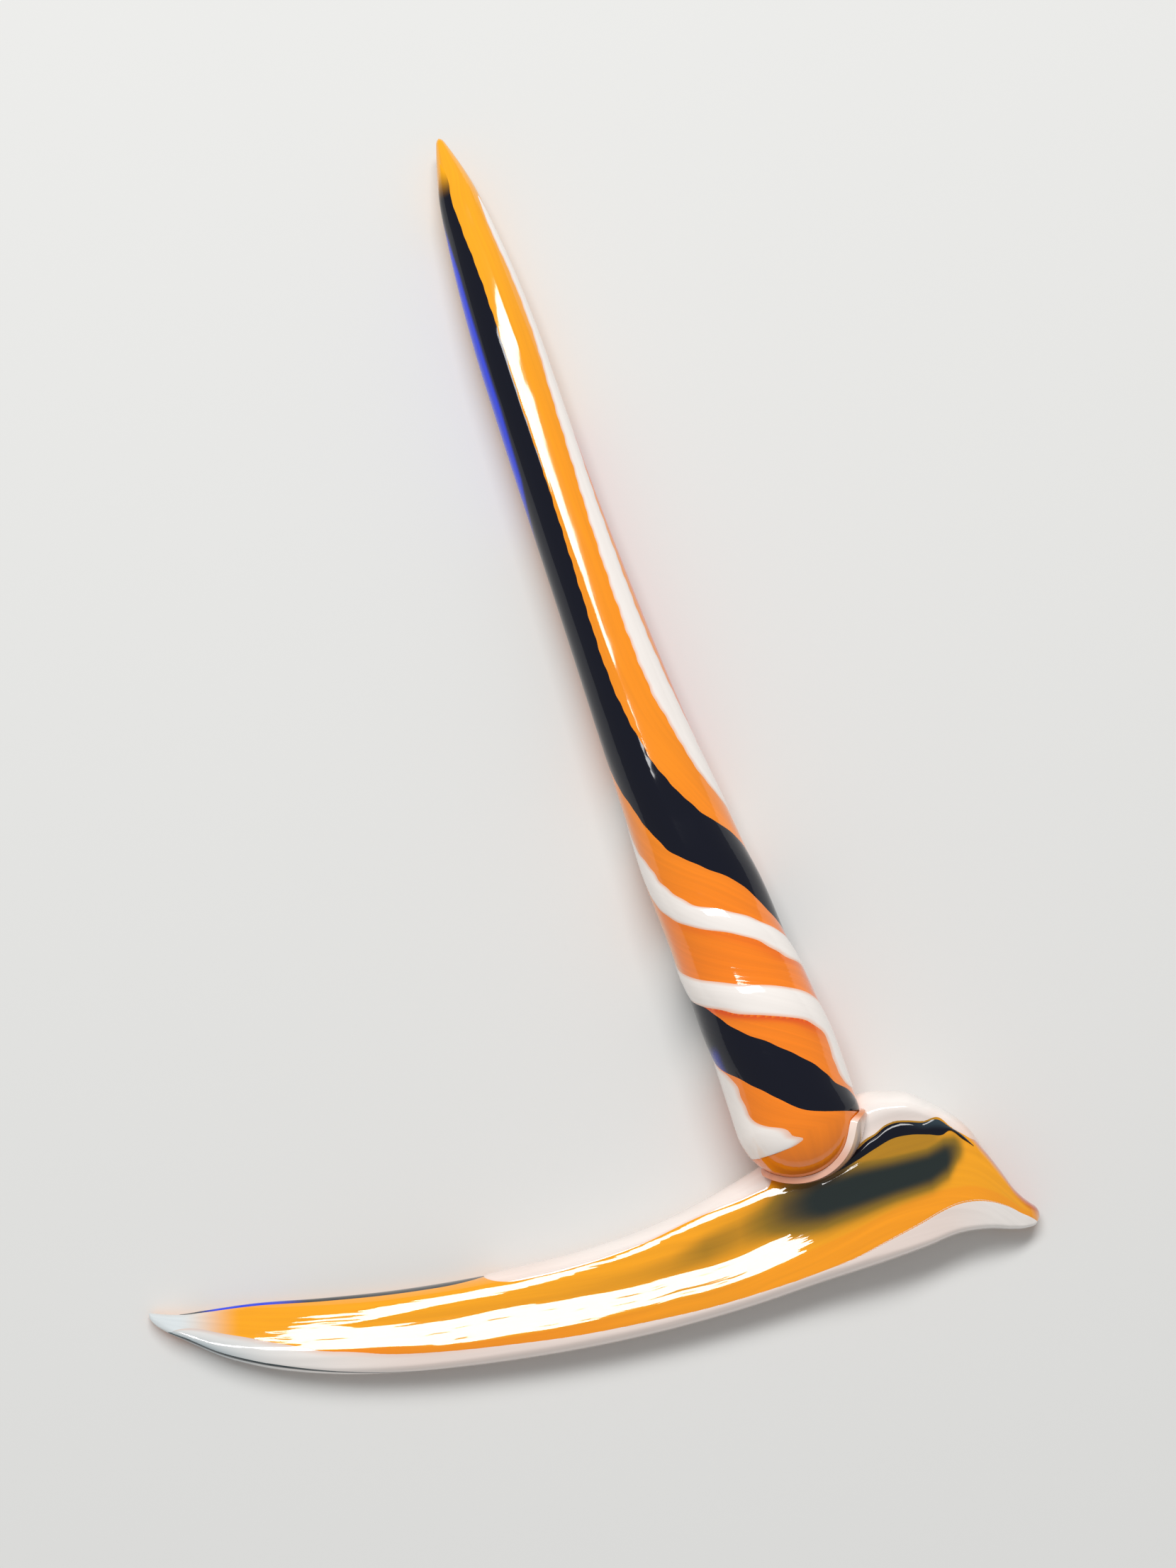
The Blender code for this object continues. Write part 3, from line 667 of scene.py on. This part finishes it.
def blade_flow(chord, around):
    """Distance from the blade's facet line, side, and distance along, in mm."""
    upper, lower = smooth(UPPER_EDGE, 1, chord), smooth(LOWER_EDGE, 1, chord)
    y = upper - (upper - lower) * (1 - np.cos(np.pi * around)) / 2 - smooth(FACET_TOP, 1, chord)
    return np.stack([y, np.sin(np.pi * around) * 1.5, chord], axis=-1)


class GLASSTOOL_OT_handle_gather(Operator):
    """Makes the handle's gather of orange glass"""

    bl_idname = "glasstool.handle_gather"
    bl_label = "Handle gather"

    def execute(self, context):
        scene = context.scene
        layout, colours = Layout(scene.glass_tool_sizes), scene.glass_tool_colours
        length = layout.handle_length
        share = np.linspace(0, 1, 430)
        rows = length * (0.5 - 0.5 * np.cos(np.pi * share)) * 0.25 + length * share * 0.75
        rows[0], rows[-1] = POLE_GAP, length - POLE_GAP
        along, turn = np.meshgrid(rows, np.linspace(0, 360, 200, endpoint=False), indexing="ij")
        side = (turn + 180) % 360 - 180
        part = along / length
        on_shaft = ease(-side, 62, 80) * ease(part, 0.27, 0.32) * ease(-part, -0.68, -0.58)
        on_bulb = 0.55 * ease(-side, 55, 85) * ease(part, 0.72, 0.8) * ease(-part, -0.93, -0.85)
        red = np.maximum(on_shaft, on_bulb)
        # Orange that was heated next to the white strikes deep red there.
        for table, most in ((WHITE_A_HIGH, 0.35), (WHITE_B_HIGH, 0.95)):
            past = (turn - smooth(table, 1, part)) % 360
            beside = most * ease(-past, -22, -1) * ease(part, 0.74, 0.78) * ease(-part, -0.90, -0.87)
            red = np.maximum(red, beside)
        facts = {
            "flow": handle_flow(layout, along, turn),
            "struck": straight(STRUCK, 1, part),
            "red": red,
            "pale": 0.8 * ease(side, 66, 84) * ease(part, 0.625, 0.67) * ease(-part, -0.9, -0.86),
        }
        # Opaque orange glass, gathered and twisted in the flame: a wet-looking gloss over an even colour that
        # heat has struck from yellow-orange at the cool tip to red-orange at the bulb, faintly streaked.
        glass = fresh_glass(
            "opaque orange soft glass, twisted", colours.orange,
            (("struck", colours.struck_orange), ("red", linear("#E64C08")), ("pale", linear("#F6A45E"))),
            0.07, 0.06, 0.018)
        closed("handle_gather", layout.handle(along, turn), glass, "handle_core", facts)
        return {"FINISHED"}


class GLASSTOOL_OT_handle_canes(Operator):
    """Lays the cobalt cane and the two white ones along the handle and round its twist"""

    bl_idname = "glasstool.handle_canes"
    bl_label = "Handle canes"

    def execute(self, context):
        scene = context.scene
        layout, colours = Layout(scene.glass_tool_sizes), scene.glass_tool_colours
        relief = scene.glass_tool_sizes.cane_relief / MM
        length = layout.handle_length
        # Dense cobalt glass: so full of colour that it looks black. At the handle's side, where it was drawn
        # thin, it is painted blue as light shining through it, brightest as a painted glow along the
        # silhouette. Its skin mirrors less than that of the opaque colours, so it stays dark.
        cobalt = fresh_glass(
            "dense cobalt soft glass", colours.cobalt,
            (("thin_backlit", colours.thin_backlit_cobalt), ("rim_glow_painted", linear("#3C6CF0")), ("fade", colours.orange),
             ("stain_and_sheen", linear("#E08058"))),
            0.06, 0.05, 0.008, ior=1.46, coat=0.0)
        # Opaque white glass, twisted: milk-white, with a peach margin where orange has bled into it.
        white = fresh_glass(
            "opaque white soft glass, twisted", colours.white,
            (("stain_and_sheen", linear("#F3B898")), ("warm", linear("#F8DCCB"))), 0.07, 0.02, 0.008)
        for name, low, high, wobble, ends, glass, slot, solid in (
            ("handle_cobalt", COBALT_LOW, COBALT_HIGH, 0.5, (3.0, 1.0), cobalt, "cobalt_glass",
             "handle_cobalt_cane"),
            ("handle_white_back", WHITE_A_LOW, WHITE_A_HIGH, 1.0, (5.0, 0.15), white, "white_glass",
             "handle_white_cane_back"),
            ("handle_white_front", WHITE_B_LOW, WHITE_B_HIGH, 0.8, (7.0, 1.0), white, "white_glass",
             "handle_white_cane_front"),
        ):
            def edges(along, low=low, high=high, wobble=wobble):
                """The two edges in degrees, wavering by a couple of sines."""
                waver = wobble * (np.sin(along * 1.9) + 0.7 * np.sin(along * 4.3 + 1))
                share = along / length
                return smooth(low, 1, share) + waver, smooth(high, 1, share) - 0.8 * waver

            first, last = max(low[0][0], high[0][0]) * length, min(low[-1][0], high[-1][0]) * length
            rows, along, turn, across = cane_rows(layout.handle, first, last, edges, relief, 0.45, ends)
            share = along / length
            side = (turn + 180) % 360 - 180
            start = straight(COBALT_THIN_BACKLIT, 1, share)
            band = ease(share, 0.075, 0.12) * ease(-share, -0.41, -0.34) * (share < 0.5)
            facts = {
                "flow": handle_flow(layout, along, turn),
                "stain_and_sheen": np.clip(ease(np.abs(across), 0.72, 1.0) * 0.75, 0, 1),
                "warm": ease(-side, 70, 92) * 0.9,
                "fade": ease(-share, -0.066, -0.034) * 0.97,
                # Painted light: the blue of light shining through the cobalt where it is drawn thin.
                "thin_backlit": band * ease(side, start, start + 9),
                # Painted light: a brighter blue glow along the handle's silhouette, as light shining through
                # the edge.
                "rim_glow_painted": band * ease(side, 80, 100) * 0.6,
            }
            if name == "handle_cobalt":
                foot = ease(share, 0.868, 0.88) * ease(-share, -0.915, -0.90) * (side > 0)
                facts["thin_backlit"] = np.maximum(facts["thin_backlit"], foot * ease(side, 58, 70) * 0.35)
                facts["stain_and_sheen"] = foot * ease(side, 66, 80) * ease(share, 0.884, 0.9)
            closed(name, rows, glass, solid, facts)
        return {"FINISHED"}


class GLASSTOOL_OT_weld_collar(Operator):
    """Draws the collar of stained white glass round the bulb where it is fused to the blade"""

    bl_idname = "glasstool.weld_collar"
    bl_label = "Weld collar"

    def execute(self, context):
        scene = context.scene
        layout, colours = Layout(scene.glass_tool_sizes), scene.glass_tool_colours

        def bulb(azimuth, elevation):
            """Point of the bulb: degrees round from its far end to the right, degrees above its equator.

            Half an ellipsoid, carried straight back along the handle past a quarter turn, and flared there.
            """
            angle, rise = np.radians(azimuth), np.radians(elevation)
            beyond = np.maximum(np.abs(angle) - np.pi / 2, 0)
            held = np.clip(angle, -np.pi / 2, np.pi / 2)
            radius = (layout.bulb - GATHER_INSET) * (1 + 0.03 * ease(azimuth, 60, 85))
            out = HANDLE_DOME * np.cos(held) * np.cos(rise) - radius * beyond
            spot = (
                layout.handle_end
                + (out - HANDLE_DOME)[..., None] * layout.down
                + (radius * np.sin(held) * np.cos(rise))[..., None] * layout.right
            )
            spot[..., 2] = layout.bulb + radius * np.sin(rise)
            return spot + layout.shift

        def edges(azimuth):
            """Lower and upper edge of the collar in degrees above the equator."""
            table = ((-52, -4), (-42, 2), (-30, 6), (0, 14), (30, 24), (60, 32), (80, 30))
            return straight(((-52, -20), (-35, -32), (80, -40)), 1, azimuth), smooth(table, 1, azimuth)

        rows, azimuth, elevation, across = cane_rows(
            bulb, -52, 80, edges, 0.04, 0.5, (16, 14), rows=360, columns=60)
        # White glass melted again in the weld: flesh-pink and streaky, scorched in spots, and painted paler on
        # top and round to the right, as light where the bulb shades it.
        white = fresh_glass(
            "white soft glass stained in the weld", colours.weld,
            (("paler_painted_light", linear("#FFEADD")), ("burnt", linear("#E8801C"))), 0.09, 0.06, 0.014)
        uneven = np.sin(azimuth * 0.21) + np.sin(azimuth * 0.083 + 1)
        spots = 0.6 * ease(uneven, 1.1, 1.7) * ease(-across, -0.9, 0.2)
        facts = {
            "flow": np.stack([elevation * COLLAR_DEGREE, across, azimuth * COLLAR_DEGREE], axis=-1),
            # Painted light: paler towards the top and round to the right, where the bulb shades the collar.
            "paler_painted_light": ease(azimuth, 25, 60) * ease(elevation, -4, 14) + 0.35 * ease(elevation, 8, 20),
            "burnt": np.maximum(spots, ease(azimuth, 66, 76)),
        }
        closed("weld_collar_drawn", rows, white, "weld_collar", facts)
        return {"FINISHED"}


class GLASSTOOL_OT_blade_gather(Operator):
    """Makes the blade's gather of orange glass, with the cobalt that shows through it at the heel"""

    bl_idname = "glasstool.blade_gather"
    bl_label = "Blade gather"

    def execute(self, context):
        scene = context.scene
        layout, colours = Layout(scene.glass_tool_sizes), scene.glass_tool_colours
        share = np.linspace(0, 1, 420)
        rows = CHORD_END * (0.3 * (0.5 - 0.5 * np.cos(np.pi * share)) + 0.7 * share)
        rows[0], rows[-1] = POLE_GAP, CHORD_END - POLE_GAP
        over, under = np.linspace(0, 1, 170, endpoint=False), np.linspace(1, 2, 36, endpoint=False)
        around = np.concatenate([over, under])
        chord, around = np.meshgrid(rows, around, indexing="ij")
        upper, lower = smooth(UPPER_EDGE, 1, chord), smooth(LOWER_EDGE, 1, chord)
        y = upper - (upper - lower) * (1 - np.cos(np.pi * around)) / 2
        centre, half, strength = (straight(COBALT_SHADOW, column, chord) for column in (1, 2, 3))
        deep = strength * np.exp(-(np.abs(y - centre) / (half * (1 + 0.3 * ease(chord, 52, 56)))) ** 2.6)
        hump = 0.30 * ease(chord, 54, 60) * ease(-chord, -69, -66.5) * ease(y, centre, centre + 1.6)
        on_top = (around < 1) * 1.0
        shadow = np.maximum(deep, hump) * on_top
        between = ease(-y, -smooth(STRIP_FOOT, 1, chord) - 0.1, -smooth(FACET_TOP, 1, chord) + 0.2)
        amber = ease(chord, 17, 24) * ease(-chord, -53, -47) * between
        beyond = ease(smooth(FACET_FOOT, 1, chord) - y, -0.2, 0.1)
        facts = {
            "flow": blade_flow(chord, around),
            "amber": amber * 0.38,
            "pale": ease(-chord, -8, -2.5) * on_top,
            "olive": ease(shadow, 0.0, 0.45),
            "dark": ease(shadow, 0.32, 0.92),
            "red": ease(chord, 66.5, 69.5) * ease(-(upper - y), -1.1, -0.15),
            "ember": (0.3 * ease(-chord, -46, -30) + 0.2) * beyond + 0.15,
        }
        # Opaque orange glass, pulled and pressed into a blade: a mirror gloss with long ripples, redder beside
        # its ridge, amber along its middle, pale at the point, and dark olive where cobalt is just under it.
        glass = fresh_glass(
            "opaque orange soft glass, pulled", colours.orange,
            (("ember", colours.struck_orange), ("amber", linear("#F09A10")), ("olive", linear("#94700A")),
             ("dark", linear("#0F1F1E")), ("red", linear("#C8480E")), ("pale", linear("#DDE4E6"))),
            0.05, 0.05, 0.045)
        closed("blade_gather", layout.blade(chord, around), glass, "blade_core", facts)
        return {"FINISHED"}


def blade_cane(layout, name, first, last, edges, relief, depth, ends, glass, slot, solid, facts, **counts):
    """Lays a cane on the blade. edges and facts are functions for its two edges and its attributes."""
    rows, chord, around, across = cane_rows(layout.blade, first, last, edges, relief, depth, ends, **counts)
    table = {"flow": blade_flow(chord, around), "stain_and_sheen": 0.7 * ease(np.abs(across), 0.7, 1.0)}
    table.update(facts(chord, around, across))
    closed(name, rows, glass, solid, table)


class GLASSTOOL_OT_blade_canes(Operator):
    """Lays the white canes and the cobalt lines along both edges of the blade"""

    bl_idname = "glasstool.blade_canes"
    bl_label = "Blade canes"

    def execute(self, context):
        scene = context.scene
        layout, colours = Layout(scene.glass_tool_sizes), scene.glass_tool_colours
        relief = scene.glass_tool_sizes.cane_relief / MM
        # Opaque white glass, pulled thin: milk-white, a little pink along the blade, grey-blue at its point.
        white = fresh_glass(
            "opaque white soft glass, pulled", colours.white,
            (("stain_and_sheen", linear("#F3BFA2")), ("warm", linear("#FBE2D6")), ("cold", linear("#8FA8B2"))),
            0.06, 0.03, 0.016)
        # Cobalt glass drawn out to a thread: black-green in the shade, and blue where the light gets through.
        cobalt = fresh_glass(
            "cobalt soft glass, drawn thin", linear("#0E1C22"),
            (("thin_backlit", colours.thin_backlit_cobalt), ("stain_and_sheen", linear("#4A666C"))), 0.06, 0.05, 0.008)

        def beneath(table, offset):
            """A plan line, moved down the blade by so many mm."""
            return tuple((row[0], row[1] - offset) for row in table)

        blade_cane(
            layout, "blade_white_upper", 28.4, 53.5,
            lambda x: (np.full_like(x, -0.16), place_across(beneath(STRIP_TOP, 0.02), x)),
            0.20, 0.4, (3.2, 1.0), white, "white_glass", "blade_white_upper_cane",
            lambda x, p, t: {"warm": 0.5 * ease(-x, -40, -29) + 0.2, "stain_and_sheen": 0.5 * ease(t, 0.86, 1)})
        blade_cane(
            layout, "blade_white_lower", 2.0, 75.0,
            lambda x: (place_across(LOWER_WHITE_TOP, x), np.full_like(x, 1.18)),
            relief * 0.5, 0.35, (3.0, 1.2), white, "white_glass", "blade_white_lower_cane",
            lambda x, p, t: {
                "warm": 0.6 * ease(x, 12, 24) * ease(-x, -72, -66),
                "stain_and_sheen": 0.6 * ease(-t, 0.80, 1.0) * ease(-x, -34, -22),
                "cold": 0.30 * ease(-x, -17, -6) + 0.6 * ease(-x, -12, -3) * ease(p, 0.5, 0.84),
            }, rows=1200, columns=50)
        blade_cane(
            layout, "blade_cobalt_upper", 2.6, 28.5,
            lambda x: (np.full_like(x, -0.10), 0.105 + 0.0 * x),
            0.05, 0.2, (3.0, 4.0), cobalt, "cobalt_glass", "blade_cobalt_line",
            lambda x, p, t: {
                "thin_backlit": ease(x, 4, 6) * ease(-x, -14, -10) * 0.9, "stain_and_sheen": 0.6 * ease(-p, -0.03, 0.04),
            }, rows=500, columns=24)
        blade_cane(
            layout, "blade_cobalt_lower", 1.7, 29.0,
            lambda x: (place_across(COBALT_LINE_TOP, x), place_across(COBALT_LINE_FOOT, x)),
            0.05, 0.2, (2.0, 5.0), cobalt, "cobalt_glass", "blade_cobalt_edge",
            lambda x, p, t: {
                "thin_backlit": ease(t, 0.2, 0.8) * ease(x, 2, 4) * ease(-x, -13, -8) * 0.6,
                "stain_and_sheen": 0.8 * ease(-t, -0.1, 0.9),
            }, rows=500, columns=24)
        return {"FINISHED"}


class GLASSTOOL_OT_heel_canes(Operator):
    """Lays the white and the cobalt cane over the heel, beside the weld"""

    bl_idname = "glasstool.heel_canes"
    bl_label = "Heel canes"

    def execute(self, context):
        scene = context.scene
        layout, colours = Layout(scene.glass_tool_sizes), scene.glass_tool_colours
        # Opaque white glass, folded over the heel: milk-white, peach where it thins out towards the tip.
        white = fresh_glass(
            "opaque white soft glass, folded", colours.white,
            (("stain_and_sheen", linear("#F3B48C")), ("warm", linear("#F6E2D8"))), 0.07, 0.03, 0.012)
        # Dense cobalt glass, folded: black and glossy, with a painted grey sheen along its upper side at its
        # far end.
        cobalt = fresh_glass(
            "dense cobalt soft glass, folded", colours.cobalt, (("stain_and_sheen", linear("#41555F")),),
            0.05, 0.05, 0.012, ior=1.46, coat=0.0)
        blade_cane(
            layout, "heel_white", 58.4, 71.2,
            lambda x: (np.full_like(x, -0.22), place_across(HEEL_WHITE_INNER, x)),
            0.24, 0.5, (0.6, 2.6), white, "white_glass", "heel_white_cane",
            lambda x, p, t: {"stain_and_sheen": ease(x, 67.5, 71) * 0.8, "warm": 0.6 * ease(t, 0.5, 1)},
            rows=420, columns=70)
        blade_cane(
            layout, "heel_cobalt", 55.7, 70.0,
            lambda x: (place_across(HEEL_COBALT_HIGH, x), place_across(HEEL_COBALT_LOW, x)),
            0.16, 0.4, (2.5, 1.6), cobalt, "cobalt_glass", "heel_cobalt_cane",
            # Painted sheen: grey along the cobalt cane's upper side at its far end.
            lambda x, p, t: {"stain_and_sheen": 0.5 * ease(x, 64, 67.4) * ease(-t, -0.4, 0.7)},
            rows=420, columns=50)
        return {"FINISHED"}


class GLASSTOOL_OT_stage(Operator):
    """Sets up the plain pale floor, the softbox and the camera"""

    bl_idname = "glasstool.stage"
    bl_label = "Stage"

    def execute(self, context):
        scene = context.scene
        settings = scene.glass_tool_stage
        floor_mesh = bpy.data.meshes.new("floor")
        ground = FRAME_BOX[0].z - 0.02 * MM
        corners = [(x, y, ground) for x, y in ((-3, -3), (3, -3), (3, 3), (-3, 3))]
        floor_mesh.from_pydata(corners, [], [(0, 1, 2, 3)])
        floor = bpy.data.objects.new("floor", floor_mesh)
        scene.collection.objects.link(floor)
        floor_mesh.materials.append(sheet_of_paper("pale matt paper", settings.floor))

        # One long softbox, spun so that its mirror image runs along the handle and the blade alike.
        softbox = bpy.data.lights.new("key", "AREA")
        softbox.shape = "RECTANGLE"
        softbox.size, softbox.size_y = KEY_SIZE
        softbox.energy = settings.key_power
        light = bpy.data.objects.new("key", softbox)
        scene.collection.objects.link(light)
        aim = Vector((math.sin(KEY_SWING), math.sin(KEY_TILT), math.cos(KEY_TILT) * math.cos(KEY_SWING)))
        aim.normalize()
        light.location = aim * KEY_DISTANCE
        light.rotation_euler = (aim.to_track_quat("Z", "Y") @ Quaternion((0, 0, 1), KEY_SPIN)).to_euler()

        world = bpy.data.worlds.new("room")
        world.use_nodes = True
        world.node_tree.nodes["Background"].inputs["Color"].default_value = (1, 1, 1, 1)
        world.node_tree.nodes["Background"].inputs["Strength"].default_value = settings.room
        scene.world = world

        data = bpy.data.cameras.new("camera")
        data.lens, data.sensor_fit, data.sensor_height = 50, "VERTICAL", 36
        data.clip_start, data.clip_end = 0.01, 10
        camera = bpy.data.objects.new("camera", data)
        scene.collection.objects.link(camera)
        away = Vector((0, -math.sin(CAMERA_TILT), math.cos(CAMERA_TILT)))
        camera.location = Vector((*CAMERA_AIM, 0)) * MM + away * CAMERA_DISTANCE
        camera.rotation_euler = (CAMERA_TILT, 0, 0)
        scene.camera = camera
        scene.view_settings.view_transform = "Standard"
        return {"FINISHED"}


MAKERS = (
    GLASSTOOL_OT_handle_gather, GLASSTOOL_OT_handle_canes, GLASSTOOL_OT_weld_collar,
    GLASSTOOL_OT_blade_gather, GLASSTOOL_OT_blade_canes, GLASSTOOL_OT_heel_canes, GLASSTOOL_OT_stage,
)


class GLASSTOOL_PT_sidebar(Panel):
    """The tool's sizes, colours, stage and pieces"""

    bl_idname = "GLASSTOOL_PT_sidebar"
    bl_label = "Lampworked Glass Tool"
    bl_space_type = "VIEW_3D"
    bl_region_type = "UI"
    bl_category = "Glass Tool"

    def draw(self, context):
        for group in ("glass_tool_sizes", "glass_tool_colours", "glass_tool_stage"):
            settings = getattr(context.scene, group)
            box = self.layout.box()
            for name in settings.__annotations__:
                box.prop(settings, name)
        for maker in MAKERS:
            self.layout.operator(maker.bl_idname)


CLASSES = (ToolSizes, ToolColours, StageSettings, *MAKERS, GLASSTOOL_PT_sidebar)


def register():
    """Registers the classes, and hangs the three groups of settings on the scene."""
    for kind in CLASSES:
        bpy.utils.register_class(kind)
    bpy.types.Scene.glass_tool_sizes = PointerProperty(type=ToolSizes)
    bpy.types.Scene.glass_tool_colours = PointerProperty(type=ToolColours)
    bpy.types.Scene.glass_tool_stage = PointerProperty(type=StageSettings)


def unregister():
    """Takes the settings and the classes away again."""
    for name in ("glass_tool_stage", "glass_tool_colours", "glass_tool_sizes"):
        delattr(bpy.types.Scene, name)
    for kind in reversed(CLASSES):
        bpy.utils.unregister_class(kind)


def main():
    """Makes each piece and the stage in turn."""
    register()
    for maker in MAKERS:
        family, name = maker.bl_idname.split(".")
        getattr(getattr(bpy.ops, family), name)()


if __name__ == "__main__":
    main()
